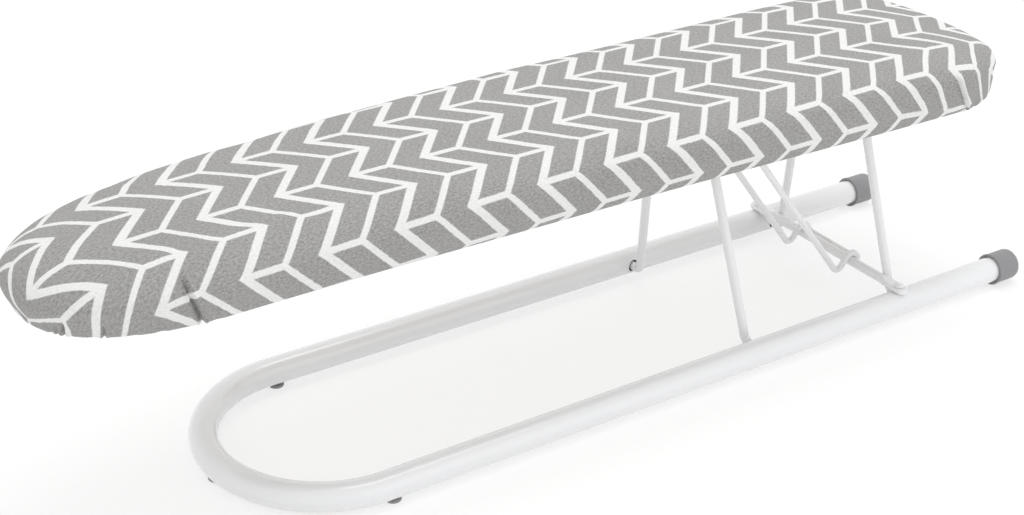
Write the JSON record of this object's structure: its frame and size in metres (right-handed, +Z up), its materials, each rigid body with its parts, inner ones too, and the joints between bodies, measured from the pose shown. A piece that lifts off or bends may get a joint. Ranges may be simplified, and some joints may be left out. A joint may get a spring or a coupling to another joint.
{
  "type": "ironing pad",
  "caption": "Small table-top ironing pad: a long padded board with a printed cover over a flat U-shaped tube base, on two folding wire legs locked by a wire stay.",
  "frame": {"origin": "on the floor, under the middle of the whole length and width", "axes": "+X towards the capped tube ends and the board's tail, -X towards its free nose, +Z up"},
  "size_m": [0.628, 0.15, 0.1658],
  "materials": {
    "white_coat": "semi-gloss white powder coat on steel",
    "grey_cap": "satin grey moulded plastic",
    "dark_pad": "matt dark grey rubber",
    "fibre_board": "raw pressed fibre board",
    "pale_foam": "open-cell padding",
    "printed_cotton": "woven cotton, grey chevrons with white outlines",
    "white_elastic": "braided elastic",
    "zinc_steel": "zinc-plated steel"
  },
  "bodies": {
    "base": {"base_tube": "white_coat", "end_cap_near": "grey_cap", "end_cap_far": "grey_cap", "foot_pad_nose": "dark_pad", "foot_pad_near": "dark_pad", "foot_pad_far": "dark_pad", "crossbar": "white_coat", "crossbar_rivet_near": "white_coat", "crossbar_rivet_far": "white_coat"},
    "front_leg": {"front_leg": "white_coat"},
    "rear_leg": {"rear_leg": "white_coat"},
    "stay": {"stay_wire": "white_coat"},
    "board": {"board_core": "fibre_board", "foam_pad": "pale_foam", "fabric_cover": "printed_cotton", "hem_elastic": "white_elastic", "front_clip_near": "zinc_steel", "front_clip_far": "zinc_steel", "rear_clip_near": "zinc_steel", "rear_clip_far": "zinc_steel", "front_clip_near_screw_nose": "zinc_steel", "front_clip_near_screw_tail": "zinc_steel", "front_clip_far_screw_nose": "zinc_steel", "front_clip_far_screw_tail": "zinc_steel", "rear_clip_near_screw_nose": "zinc_steel", "rear_clip_near_screw_tail": "zinc_steel", "rear_clip_far_screw_nose": "zinc_steel", "rear_clip_far_screw_tail": "zinc_steel", "stay_catch": "zinc_steel", "catch_screw_near": "zinc_steel", "catch_screw_far": "zinc_steel"}
  },
  "joints": [
    {"name": "fold", "type": "hinge", "parent": "base", "child": "front_leg", "pos_m": [0.1047, 0, 0.01], "axis": [0, 1, 0], "range_deg": [0, 88]},
    {"name": "board_level", "type": "hinge", "parent": "front_leg", "child": "board", "pos_m": [0.0861, 0, 0.1345], "axis": [0, 1, 0], "range_deg": [-88, 0]},
    {"name": "rear_leg_fold", "type": "hinge", "parent": "base", "child": "rear_leg", "pos_m": [0.222, 0, 0.01], "axis": [0, 1, 0], "range_deg": [0, 88]},
    {"name": "stay_fold", "type": "hinge", "parent": "base", "child": "stay", "pos_m": [0.21439, 0, 0.02], "axis": [0, -1, 0], "range_deg": [0, 54]}
  ],
  "couplings": [
    {"joint": "board_level", "follows": "fold", "ratio": -1},
    {"joint": "rear_leg_fold", "follows": "fold", "ratio": 1},
    {"joint": "stay_fold", "follows": "fold", "ratio": 0.608}
  ]
}
